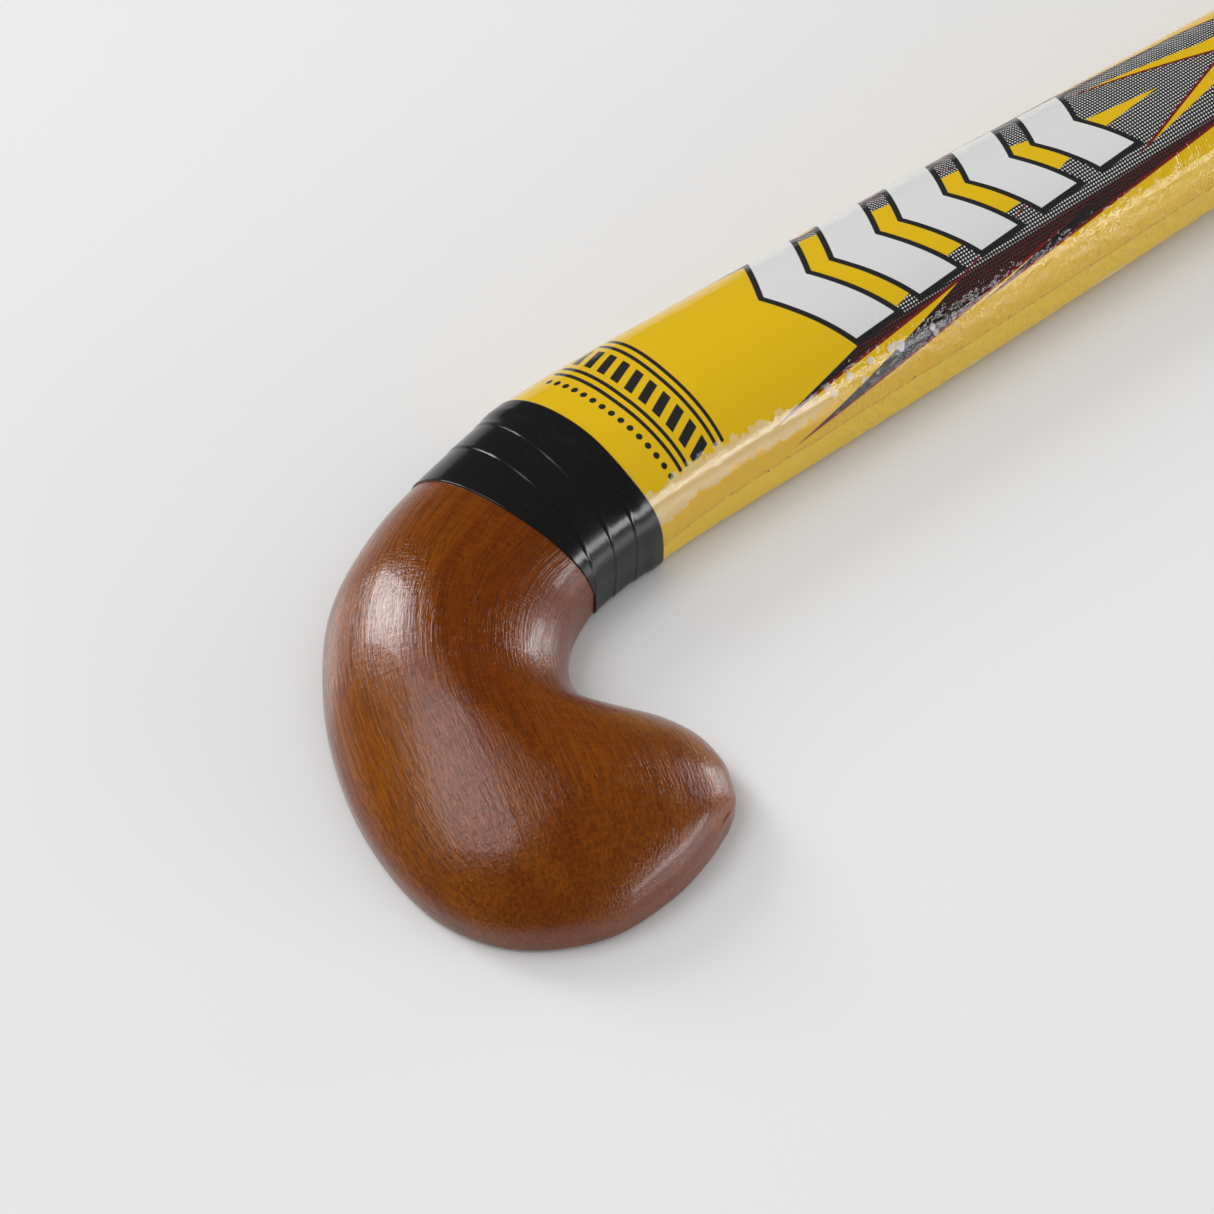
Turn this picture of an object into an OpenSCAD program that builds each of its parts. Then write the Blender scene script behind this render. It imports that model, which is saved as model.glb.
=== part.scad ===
// Traditional wooden field hockey stick, lying on its flat playing face.
// +X runs up the shaft to the handle, the toe of the hook points to -Y, +Z is up.
// The origin is on the playing face, under the centre line, level with the bottom of the throat.

/* [Overall] */
// Length from the base of the head to the top of the butt cap
stick_length = 927; // [890:1:965]
// Half width of the bare wood where the shaft meets the neck
shaft_half_width = 24; // [22.5:0.1:24.5]
// Thickness of the bare wood where the shaft meets the neck
shaft_thickness = 26.4; // [25:0.1:27.5]
// Height of the upright side wall on the shaft, above the playing face
shaft_wall = 8.5; // [7:0.1:10]

/* [Head] */
// Thickness that the rounded back thins down to at the toe's tip
toe_thickness = 15; // [13:0.1:22]
// Height of the upright side wall round the toe
toe_wall = 4.6; // [4:0.1:8]
// Radius of the edge round the playing face
face_edge_r = 1.6; // [0.8:0.1:2.5]
// Shape of the rounded back on the shaft, 2 is an ellipse and higher is squarer
back_power = 2.3; // [2:0.1:2.8]
// Shape of the rounded back on the hook, lower falls away more gently
hook_power = 1.6; // [1.5:0.05:2.3]

/* [Splice] */
// Distance from the origin to the blunt tip of the V notch
notch_x = 110; // [95:1:120]
// Distance from the origin to the ends of the head's two tongues
tongue_x = 235; // [215:1:250]
// Half width of the blunt tip of the V notch
notch_tip = 1.5; // [1:0.1:3]
// Thickness of each rubber sheet between the cane slips
rubber_t = 1.2; // [0.8:0.1:1.6]
// Distance between the middles of neighbouring rubber sheets
rubber_pitch = 7.1; // [6.5:0.1:7.6]

/* [Handle] */
// Radius of the round cane handle under its wrappings
core_r = 14.2; // [13.8:0.1:14.4]
// Distance from the origin to where the shaft has become fully round
round_x = 540; // [500:5:560]
// Outer radius of the grip
grip_r = 16.5; // [16.2:0.1:17.5]
// Length of the grip
grip_length = 280; // [240:5:290]
// Thickness of the butt cap's end plate
cap_t = 6; // [4:0.5:9]
// Length of the cap's skirt over the end of the handle
cap_skirt = 12; // [8:1:18]

/* [Wrappings] */
// Thickness of the glass cloth and of the twine bound over the wood
binding_t = 0.5; // [0.4:0.05:0.6]
// Thickness of the printed film
film_t = 0.25; // [0.2:0.05:0.3]
// Thickness of the clear sleeve over the print
sleeve_t = 0.25; // [0.2:0.05:0.3]
// Thickness of the black tape round the neck
tape_t = 0.8; // [0.6:0.05:0.95]
// Thickness of the cushion layer under the grip
underlay_t = 0.8; // [0.6:0.1:1]
// Distance from the origin to where the glass cloth ends and the twine begins
twine_x = 200; // [185:1:210]

/* [Hidden] */
$fn = 96;

// The head seen from above, as two edges with one pair of points per step from the neck to the toe.
neck_x = 60;
outer_edge = [[neck_x, shaft_half_width], [33, 23.2], [12, 19.4], [-8.6, 14], [-27, 3.8],
              [-40.2, -12.4], [-49.2, -31.4], [-53.8, -51], [-53.3, -70], [-45.2, -85.6], [-29.5, -95],
              [-13, -95.8], [-1.5, -93.2], [5.5, -90.2]];
inner_edge = [[neck_x, -shaft_half_width], [42, -24.9], [24.5, -26.9], [13.5, -30.8], [6, -37.4],
              [2.2, -44.5], [2.8, -51], [7.6, -56.6], [12.6, -62.6], [15.4, -70.2], [15.2, -78.2],
              [13, -83.6], [11, -87], [7.6, -89.4]];
head_end = len(outer_edge) - 1;
head_base_x = -54.2;      // the lowest point of the hook
full_half = 24;           // half width at which the rounded back reaches its full height
tape_top = 1;             // step at which the tape's upper edge lies
tape_bottom = 2.45;       // step at which the tape's lower edge lies
relief_end = 2.7;         // the playing face is flush from here down to the toe
hook_full = 6;            // step at which the hook has its own shape of back and its low wall
tip_length = 1.2;         // steps over which the back comes down to the wall at the tip
tip_start = 8;            // step from which the back grows fuller again towards the tip
tip_power = 2.2;          // shape of the rounded back at the tip

wrap_relief = 1.1;        // the wood stands this far above the playing face's plane under its wraps
shaft_top = wrap_relief + shaft_thickness;
handle_z = grip_r;        // the handle's axis, so that the grip touches the ground plane
stick_end = head_base_x + stick_length;
core_end = stick_end - cap_t;
skirt_start = core_end - cap_skirt;
grip_end = core_end;
grip_start = grip_end - grip_length;
finish_length = 20;       // length of the tape that closes the lower end of the grip
film_end = grip_start - 4;
twine_r = core_r + binding_t;
film_r = twine_r + film_t + sleeve_t;
underlay_r = twine_r + underlay_t;
trim_r = grip_r - 0.5;    // the cap and the finishing tape stay inside the grip's radius
glue = 0.15;              // gap between the canes' outside and the binding
crest = 0.4;              // flat left on top of the uppermost slip
tongue_tip = 0.8;         // thickness of each tongue at its end

back_steps = 19;          // steps over the rounded back, odd so that a ring has an even count
edge_steps = 6;           // steps round each edge of the flat side
side_steps = 5;           // steps up the side of a cane slip
shaft_step = 45;          // distance between cross-sections along the shaft

wood_colour = [0.55, 0.27, 0.07];
cane_colour = [0.80, 0.65, 0.40];
rubber_colour = [0.35, 0.12, 0.08];
film_colour = [0.90, 0.70, 0.02];
tape_colour = [0.06, 0.06, 0.07];

function mix(a, b, t) = a + (b - a) * t;
function limit(t) = max(0, min(1, t));
function ease(t) = t * t * (3 - 2 * t);

// Smooth curve through all the points, with one unit of s per point.
function bend(a, b, c, d, t) =
    0.5 * (2 * b + (c - a) * t + (2 * a - 5 * b + 4 * c - d) * t * t
           + (3 * b - a - 3 * c + d) * t * t * t);
function along(points, s) =
    let (last = len(points) - 1,
         i = min(floor(s), last - 1),
         before = i > 0 ? points[i - 1] : 2 * points[0] - points[1],
         after = i + 2 <= last ? points[i + 2] : 2 * points[last] - points[last - 1])
    bend(before, points[i], points[i + 1], after, s - i);

// Points round the head's rim, to find how far inside it the middle of a section lies.
rim = [for (k = [0:0.1:head_end]) each [along(outer_edge, k), along(inner_edge, k)]];
function inside(point) = min([for (p = rim) norm(p - point)]);

// A section is [outer point, inner point, base z, wall z, top z, edge radius, back power].
function shaft_section(x) =
    let (t = ease(limit((x - neck_x) / (round_x - neck_x))),
         half = mix(shaft_half_width, core_r, t))
    [[x, half], [x, -half],
     mix(wrap_relief, handle_z - core_r, t),
     mix(shaft_wall, handle_z, t),
     mix(shaft_top, handle_z + core_r, t),
     mix(face_edge_r, core_r, t),
     mix(back_power, 2, t)];

function head_section(s) =
    let (outer = along(outer_edge, s),
         inner = along(inner_edge, s),
         hook = ease(limit(s / hook_full)),
         full = ease(limit((s - tip_start) / (head_end - tip_start))),
         power = mix(mix(back_power, hook_power, hook), tip_power, full),
         wall = mix(shaft_wall, toe_wall, hook),
         full_top = mix(shaft_top, toe_thickness, pow(s / head_end, 2)),
         fill = limit(inside((outer + inner) / 2) / full_half),
         tip = sqrt(limit((head_end - s) / tip_length)),
         rise = tip * pow(1 - pow(1 - fill, power), 1 / power),
         flush = ease(limit((s - tape_bottom) / (relief_end - tape_bottom))))
    [outer, inner, mix(wrap_relief, 0, flush), wall, mix(wall, full_top, rise),
     face_edge_r, power];

// The closed outline of one section: over the rounded back, then along the flat side.
function outline(half, base, wall, top, edge_r, power) =
    let (r = min(edge_r, half - crest, wall - base))
    concat(
        [for (k = [0:back_steps]) let (a = 180 * k / back_steps)
            [half * sign(cos(a)) * pow(abs(cos(a)), 2 / power),
             wall + (top - wall) * pow(sin(a), 2 / power)]],
        [for (k = [1:edge_steps]) let (a = 180 + 90 * k / edge_steps)
            [r - half + r * cos(a), base + r + r * sin(a)]],
        [for (k = [0:edge_steps - 1]) let (a = 270 + 90 * k / edge_steps)
            [half - r + r * cos(a), base + r + r * sin(a)]]);

// A section as a ring of points in space, grown outwards by grow.
function ring(section, grow = 0) =
    let (middle = (section[0] + section[1]) / 2,
         reach = (section[0] - section[1]) / 2,
         across = reach / norm(reach))
    [for (p = outline(norm(reach) + grow, section[2] - grow, section[3],
                      section[4] + grow, section[5] + grow, section[6]))
        [middle.x + across.x * p.x, middle.y + across.y * p.x, p.y]];

// Stations: first and last as given, with the regular ones between them.
function stations(first, last, step) =
    let (low = floor(first / step) + 1,
         high = ceil(last / step) - 1)
    concat([first], [for (k = [low:1:high]) if (k * step - first > 0.01) k * step], [last]);

function shaft_rings(first, last, grow = 0) =
    [for (x = stations(first, last, shaft_step)) ring(shaft_section(x), grow)];
function neck_rings(from_step, to_step, grow = 0) =
    [for (s = stations(from_step, to_step, 0.2)) ring(head_section(s), grow)];
function backwards(list) = [for (i = [len(list) - 1:-1:0]) list[i]];
function without_first(list) = [for (i = [1:1:len(list) - 1]) list[i]];

// Faces that close a ring of count points starting at first, in strips from side to side.
function end_strips(first, count) =
    [for (j = [0:count / 2 - 2])
        [first + j, first + j + 1, first + count - 2 - j, first + count - 1 - j]];

// A solid through a row of rings, closed at both ends.
module loft(rings) {
    count = len(rings[0]);
    last = len(rings) - 1;
    polyhedron(
        points = [for (one = rings) each one],
        faces = concat(
            [for (face = end_strips(0, count)) backwards(face)],
            [for (i = [0:last - 1], j = [0:count - 1]) let (k = (j + 1) % count)
                each [[i * count + j, (i + 1) * count + k, (i + 1) * count + j],
                      [i * count + j, i * count + k, (i + 1) * count + k]]],
            end_strips(last * count, count)));
}

// A thin tube between an outer and an inner row of rings.
module tube(outer_rings, inner_rings) {
    rings = concat(outer_rings, backwards(inner_rings));
    count = len(rings[0]);
    rows = len(rings);
    polyhedron(
        points = [for (one = rings) each one],
        faces = [for (i = [0:rows - 1], j = [0:count - 1])
            let (k = (j + 1) % count, next = (i + 1) % rows)
            each [[i * count + j, next * count + k, next * count + j],
                  [i * count + j, i * count + k, next * count + k]]]);
}

// The plan of the V notch, which is also the widest that the canes may be inside it.
function notch_half(x) =
    let (end_half = shaft_section(tongue_x)[0].y - tongue_tip)
    mix(notch_tip, end_half, (x - notch_x) / (tongue_x - notch_x));

module notch() {
    beyond = tongue_x + 10;
    translate([0, 0, -1])
        linear_extrude(shaft_top + 2)
            polygon([[notch_x, -notch_tip], [beyond, -notch_half(beyond)],
                     [beyond, notch_half(beyond)], [notch_x, notch_tip]]);
}

module head() {
    tip_steps = [12.4, 12.6, 12.8, 12.95];
    hook = [for (s = stations(0, 12.2, 0.2)) ring(head_section(s))];
    tip = [for (s = tip_steps) ring(head_section(s))];
    shaft = backwards(without_first(shaft_rings(neck_x, tongue_x)));
    color(wood_colour)
        difference() {
            loft(concat(shaft, hook, tip));
            notch();
        }
}

// Half width of the shaft at height z, in the section at x.
function half_at(x, z) =
    let (section = shaft_section(x),
         half = section[0].y,
         wall = section[3],
         r = min(section[5], half - crest, wall - section[2]),
         up = limit((z - wall) / (section[4] - wall)),
         down = limit((section[2] + r - z) / r))
    half * pow(1 - pow(up, section[6]), 1 / section[6]) - r + r * sqrt(1 - down * down) - glue;
function cane_half(x, z) =
    max(0.05, x > tongue_x ? half_at(x, z) : min(half_at(x, z), notch_half(x)));

function slice_ring(x, low, high) =
    let (section = shaft_section(x),
         z0 = max(low, section[2] + glue),
         z1 = min(high, section[4] - crest))
    concat(
        [for (k = [0:side_steps]) let (z = mix(z0, z1, k / side_steps)) [x, cane_half(x, z), z]],
        [for (k = [side_steps:-1:0]) let (z = mix(z0, z1, k / side_steps)) [x, -cane_half(x, z), z]]);

// One flat layer of the handle, from the notch to the butt.
module layer(low, high) {
    lower = stations(notch_x, tongue_x, 25);
    upper = stations(tongue_x + 1, core_end, shaft_step);
    loft([for (x = backwards(concat(lower, upper))) slice_ring(x, low, high)]);
}

// Rubber sheets lie at -1, 0 and 1 pitch from the handle's axis.
function rubber_z(number) = handle_z + (number - 2) * rubber_pitch;
module cane_slip(number) {
    low = number == 1 ? 0 : rubber_z(number - 1) + rubber_t / 2;
    high = number == 4 ? 2 * handle_z : rubber_z(number) - rubber_t / 2;
    color(cane_colour)
        layer(low, high);
}
module rubber_spring(number) {
    color(rubber_colour)
        layer(rubber_z(number) - rubber_t / 2, rubber_z(number) + rubber_t / 2);
}

// A wrapping that starts at the tape's upper edge and runs up the shaft.
module shaft_wrap(end_x, inside, outside) {
    function rows(grow) =
        concat(backwards(shaft_rings(neck_x, end_x, grow)),
               without_first(neck_rings(0, tape_top, grow)));
    tube(rows(outside), rows(inside));
}

module splice_binding() {
    color("wheat")
        shaft_wrap(twine_x, 0, binding_t);
}

module twine_whipping() {
    color("burlywood")
        tube(backwards(shaft_rings(twine_x, core_end, binding_t)),
             backwards(shaft_rings(twine_x, core_end, 0)));
}

module printed_film() {
    color(film_colour)
        shaft_wrap(film_end, binding_t, binding_t + film_t);
}

module clear_sleeve() {
    color(film_colour, 0.4)
        shaft_wrap(film_end, binding_t + film_t, binding_t + film_t + sleeve_t);
}

module head_tape() {
    color(tape_colour)
        tube(neck_rings(tape_top, tape_bottom, tape_t), neck_rings(tape_top, tape_bottom, 0));
}

// A tube on the handle's axis.
module collar(start, length, outer_r, inner_r) {
    translate([start, 0, handle_z])
        rotate([0, 90, 0])
            difference() {
                cylinder(h = length, r = outer_r);
                translate([0, 0, -1])
                    cylinder(h = length + 2, r = inner_r);
            }
}

module grip_underlay() {
    color("gainsboro")
        collar(grip_start, skirt_start - grip_start, underlay_r, twine_r);
}

module grip_wrap() {
    color([0.10, 0.10, 0.11])
        collar(grip_start, grip_length, grip_r, underlay_r);
}

module grip_finishing_tape() {
    color(tape_colour)
        collar(grip_start - finish_length, finish_length, trim_r, film_r);
}

module butt_cap() {
    color([0.08, 0.08, 0.08])
        translate([skirt_start, 0, handle_z])
            rotate([0, 90, 0])
                difference() {
                    union() {
                        cylinder(h = cap_skirt, r = underlay_r);
                        translate([0, 0, cap_skirt])
                            cylinder(h = cap_t, r = trim_r);
                    }
                    translate([0, 0, -1])
                        cylinder(h = cap_skirt + 1, r = twine_r);
                }
}

head();
splice_binding();
twine_whipping();
printed_film();
clear_sleeve();
head_tape();
cane_slip(1);  // cane_slip_1
rubber_spring(1);  // rubber_spring_1
cane_slip(2);  // cane_slip_2
rubber_spring(2);  // rubber_spring_2
cane_slip(3);  // cane_slip_3
rubber_spring(3);  // rubber_spring_3
cane_slip(4);  // cane_slip_4
grip_underlay();
grip_wrap();
grip_finishing_tape();
butt_cap();
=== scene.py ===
import math

import bmesh
import bpy
import numpy as np
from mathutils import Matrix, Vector, noise
from mathutils.bvhtree import BVHTree


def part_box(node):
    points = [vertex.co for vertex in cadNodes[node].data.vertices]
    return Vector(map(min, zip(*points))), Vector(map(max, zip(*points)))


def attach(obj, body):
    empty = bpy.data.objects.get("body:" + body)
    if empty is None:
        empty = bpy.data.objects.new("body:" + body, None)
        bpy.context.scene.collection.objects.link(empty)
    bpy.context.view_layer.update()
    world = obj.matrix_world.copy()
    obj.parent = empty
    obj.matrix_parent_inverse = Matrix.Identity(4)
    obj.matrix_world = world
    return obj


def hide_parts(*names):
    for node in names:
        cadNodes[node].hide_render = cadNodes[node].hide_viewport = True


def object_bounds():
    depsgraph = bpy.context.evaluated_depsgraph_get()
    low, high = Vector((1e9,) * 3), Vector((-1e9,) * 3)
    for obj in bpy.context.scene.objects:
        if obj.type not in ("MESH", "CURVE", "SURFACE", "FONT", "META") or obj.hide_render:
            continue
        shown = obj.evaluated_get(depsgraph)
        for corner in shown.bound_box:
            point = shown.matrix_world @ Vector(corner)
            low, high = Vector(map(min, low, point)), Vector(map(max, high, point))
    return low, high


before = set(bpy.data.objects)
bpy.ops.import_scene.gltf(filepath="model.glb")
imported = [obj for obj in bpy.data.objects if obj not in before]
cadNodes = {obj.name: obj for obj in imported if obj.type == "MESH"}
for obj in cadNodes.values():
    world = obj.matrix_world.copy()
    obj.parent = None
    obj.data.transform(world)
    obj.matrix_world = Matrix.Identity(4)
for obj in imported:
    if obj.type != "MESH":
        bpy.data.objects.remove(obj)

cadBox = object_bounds()
print("frame loaded:", len(cadNodes), "nodes")


# ---- camera, floor and lights

cameraView = {
    "azimuth": -38.12,  # degrees, 0 looks along +Y
    "elevation": 50.35,
    "distance": 0.622,
    "target": (0.0244, -0.0272, 0.0),  # between the throat and the tape, on the floor
    "fieldOfView": 24.0,
}


def direction(azimuth, elevation):
    a, e = math.radians(azimuth), math.radians(elevation)
    return Vector((math.sin(a) * math.cos(e), -math.cos(a) * math.cos(e), math.sin(e)))


def makeCamera():
    data = bpy.data.cameras.new("camera")
    camera = bpy.data.objects.new("camera", data)
    bpy.context.scene.collection.objects.link(camera)
    back = direction(cameraView["azimuth"], cameraView["elevation"])
    camera.location = Vector(cameraView["target"]) + back * cameraView["distance"]
    camera.rotation_euler = (-back).to_track_quat("-Z", "Y").to_euler()
    data.sensor_width = 36
    data.lens = 18 / math.tan(math.radians(cameraView["fieldOfView"] / 2))
    data.clip_start = 0.01
    data.clip_end = 50
    bpy.context.scene.camera = camera


studio = {
    "aim": (-0.005, -0.035, 0.015),  # the middle of the hook
    "fill": 0.54,  # light from all round, on matt surfaces
    "surroundings": 0.045,  # what glossy surfaces mirror between the softboxes
    "floorSide": 14.0,
    "floorDrop": 0.0002,
    # azimuth, elevation, distance, width, height, brightness, colour
    "boxes": {
        "keyBox": (-166, 27, 2.4, 0.70, 1.05, 10.5, (1.0, 1.0, 1.0)),
        "topBox": (-132, 58, 2.3, 1.42, 1.16, 3.1, (1.0, 0.98, 0.98)),
        "throatBox": (88, 7.5, 2.0, 0.80, 0.34, 8.0, (0.97, 0.98, 1.0)),
        "shaftBox": (36, 11, 2.0, 1.70, 0.30, 8.0, (0.97, 0.98, 1.0)),
    },
}


def makeSoftbox(name, azimuth, elevation, distance, width, height, brightness, colour):
    data = bpy.data.lights.new(name, "AREA")
    data.shape = "RECTANGLE"
    data.size = width
    data.size_y = height
    data.energy = brightness * math.pi * width * height
    data.color = colour
    light = bpy.data.objects.new(name, data)
    bpy.context.scene.collection.objects.link(light)
    away = direction(azimuth, elevation)
    light.location = Vector(studio["aim"]) + away * distance
    light.rotation_euler = away.to_track_quat("Z", "Y").to_euler()
    light.visible_camera = False


def makeWorld():
    world = bpy.data.worlds.new("studio")
    bpy.context.scene.world = world
    world.use_nodes = True
    tree = world.node_tree
    tree.nodes.clear()
    output = tree.nodes.new("ShaderNodeOutputWorld")
    mixer = tree.nodes.new("ShaderNodeMixShader")
    path = tree.nodes.new("ShaderNodeLightPath")
    fill = tree.nodes.new("ShaderNodeBackground")
    dark = tree.nodes.new("ShaderNodeBackground")
    fill.inputs["Color"].default_value = (1.0, 1.0, 1.0, 1)
    fill.inputs["Strength"].default_value = studio["fill"]
    dark.inputs["Color"].default_value = (1.0, 1.0, 1.0, 1)
    dark.inputs["Strength"].default_value = studio["surroundings"]
    tree.links.new(path.outputs["Is Glossy Ray"], mixer.inputs[0])
    tree.links.new(fill.outputs[0], mixer.inputs[1])
    tree.links.new(dark.outputs[0], mixer.inputs[2])
    tree.links.new(mixer.outputs[0], output.inputs[0])


# ---- node helpers


def feed(tree, socket, value):
    if isinstance(value, bpy.types.NodeSocket):
        tree.links.new(value, socket)
    else:
        socket.default_value = value


def put(tree, kind, inputs=None, **settings):
    node = tree.nodes.new(kind)
    for name, value in settings.items():
        setattr(node, name, value)
    for key, value in (inputs or {}).items():
        feed(tree, node.inputs[key], value)
    return node


def calc(tree, operation, *values):
    node = put(tree, "ShaderNodeMath", operation=operation)
    for i, value in enumerate(values):
        feed(tree, node.inputs[i], value)
    return node.outputs[0]


def times(tree, first, second):
    return calc(tree, "MULTIPLY", first, second)


def minus(tree, first, second):
    return calc(tree, "SUBTRACT", first, second)


def gapTo(tree, value, place):
    return calc(tree, "ABSOLUTE", minus(tree, value, place))


def vectorCalc(tree, operation, first, second=None, output=0):
    inputs = {0: first} if second is None else {0: first, 1: second}
    return put(tree, "ShaderNodeVectorMath", inputs, operation=operation).outputs[output]


def scaled(tree, vector, factors):
    return vectorCalc(tree, "MULTIPLY", vector, factors)


def rise(tree, value, low, high):
    return put(
        tree,
        "ShaderNodeMapRange",
        {"Value": value, "From Min": low, "From Max": high, "To Min": 0.0, "To Max": 1.0},
        interpolation_type="SMOOTHSTEP",
    ).outputs[0]


def cloud(tree, vector, scale, detail=3.0, roughness=0.5, distortion=0.0):
    inputs = {"Vector": vector, "Scale": scale, "Detail": detail, "Roughness": roughness}
    return put(tree, "ShaderNodeTexNoise", {**inputs, "Distortion": distortion}).outputs[0]


def cloudVector(tree, vector, scale):
    node = put(tree, "ShaderNodeTexNoise", {"Vector": vector, "Scale": scale, "Detail": 2.0})
    return vectorCalc(tree, "SUBTRACT", node.outputs[1], (0.5, 0.5, 0.5))


def blend(tree, factor, first, second):
    node = put(tree, "ShaderNodeMix", data_type="RGBA")
    feed(tree, node.inputs[0], factor)
    feed(tree, node.inputs[6], first)
    feed(tree, node.inputs[7], second)
    return node.outputs[2]


def colourSteps(tree, factor, steps):
    node = put(tree, "ShaderNodeValToRGB", {"Fac": factor})
    elements = node.color_ramp.elements
    while len(elements) < len(steps):
        elements.new(0.5)
    for element, (position, colour) in zip(elements, steps):
        element.position = position
        element.color = (*colour, 1)
    return node.outputs[0]


def bump(tree, height, distance, normal=None):
    inputs = {"Height": height, "Strength": 1.0, "Distance": distance}
    if normal is not None:
        inputs["Normal"] = normal
    return put(tree, "ShaderNodeBump", inputs).outputs["Normal"]


def attribute(tree, name):
    return put(tree, "ShaderNodeAttribute", attribute_name=name).outputs["Vector"]


def objectPlace(tree):
    return put(tree, "ShaderNodeTexCoord").outputs["Object"]


def newMaterial(name, **constants):
    material = bpy.data.materials.new(name)
    material.use_nodes = True
    tree = material.node_tree
    tree.nodes.clear()
    surface = put(tree, "ShaderNodeBsdfPrincipled")
    output = put(tree, "ShaderNodeOutputMaterial", {"Surface": surface.outputs[0]})
    output.is_active_output = True
    for label, value in constants.items():
        surface.inputs[label.replace("_", " ")].default_value = value
    return material, tree, surface


def newGroup(name, inputs, outputs):
    group = bpy.data.node_groups.new(name, "ShaderNodeTree")
    for label, kind, value in inputs:
        socket = group.interface.new_socket(label, in_out="INPUT", socket_type="NodeSocket" + kind)
        if value is not None:
            socket.default_value = value
    for label in outputs:
        group.interface.new_socket(label, in_out="OUTPUT", socket_type="NodeSocketFloat")
    return group, put(group, "NodeGroupInput").outputs, put(group, "NodeGroupOutput").inputs


def useGroup(tree, group, inputs):
    return put(tree, "ShaderNodeGroup", inputs, node_tree=group).outputs


# ---- shared surface effects


def makeFibreGroup():
    # "Grain" holds along, across and height, in metres
    inputs = [
        ("Grain", "Vector", None),
        ("Band", "Float", 0.010),
        ("Streak", "Float", 0.0006),
        ("Pore", "Float", 0.00022),
    ]
    group, given, result = newGroup("woodFibre", inputs, ["Bands", "Streaks", "Pores"])
    bend = scaled(group, cloudVector(group, given["Grain"], 30.0), (0.0, 0.0016, 0.0016))
    bent = vectorCalc(group, "ADD", given["Grain"], bend)

    def stretched(size, length):
        frequency = calc(group, "DIVIDE", 1.0, size)
        lengthways = calc(group, "DIVIDE", frequency, length)
        factors = {0: lengthways, 1: frequency, 2: frequency}
        return scaled(group, bent, put(group, "ShaderNodeCombineXYZ", factors).outputs[0])

    bands = cloud(group, stretched(given["Band"], 14.0), 1.0, 3.0, 0.55)
    feed(group, result["Bands"], rise(group, bands, 0.3, 0.7))
    streaks = cloud(group, stretched(given["Streak"], 40.0), 1.0, 4.0, 0.6)
    feed(group, result["Streaks"], rise(group, streaks, 0.25, 0.75))
    pores = cloud(group, stretched(given["Pore"], 14.0), 1.0, 1.0, 0.4)
    feed(group, result["Pores"], rise(group, pores, 0.62, 0.72))
    return group


def makeHandlingGroup():
    inputs = [("Vector", "Vector", None), ("Scale", "Float", 60.0)]
    group, given, result = newGroup("handling", inputs, ["Smudge", "Speck", "Scuff"])
    smudge = cloud(group, given["Vector"], given["Scale"], 4.0, 0.6)
    feed(group, result["Smudge"], rise(group, smudge, 0.35, 0.7))
    speck = cloud(group, given["Vector"], times(group, given["Scale"], 22.0), 1.0, 0.5)
    feed(group, result["Speck"], rise(group, speck, 0.68, 0.76))
    long = scaled(group, given["Vector"], (1.0, 9.0, 9.0))
    scuff = cloud(group, long, times(group, given["Scale"], 2.5), 5.0, 0.7, 0.4)
    feed(group, result["Scuff"], rise(group, scuff, 0.58, 0.72))
    return group


def makeWeaveGroup():
    inputs = [("Vector", "Vector", None), ("Pitch", "Float", 0.001)]
    group, given, result = newGroup("weave", inputs, ["Height", "Gap"])
    turn = calc(group, "DIVIDE", 2 * math.pi, given["Pitch"])
    parts = put(group, "ShaderNodeSeparateXYZ", {0: given["Vector"]}).outputs
    warp = calc(group, "ABSOLUTE", calc(group, "SINE", times(group, parts[0], turn)))
    weft = calc(group, "ABSOLUTE", calc(group, "SINE", times(group, parts[1], turn)))
    thread = calc(group, "MAXIMUM", warp, weft)
    feed(group, result["Height"], thread)
    feed(group, result["Gap"], rise(group, thread, 0.45, 0.2))
    return group


fibreGroup = makeFibreGroup()
handlingGroup = makeHandlingGroup()
weaveGroup = makeWeaveGroup()


# ---- materials

wood = {
    "edge": (0.075, 0.016, 0.002),
    "red": (0.165, 0.030, 0.002),
    "brown": (0.220, 0.050, 0.002),
    "orange": (0.300, 0.082, 0.002),
    "roughness": 0.09,
    "fibreHeight": 0.00006,
    "rippleHeight": 0.00006,
}


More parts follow.
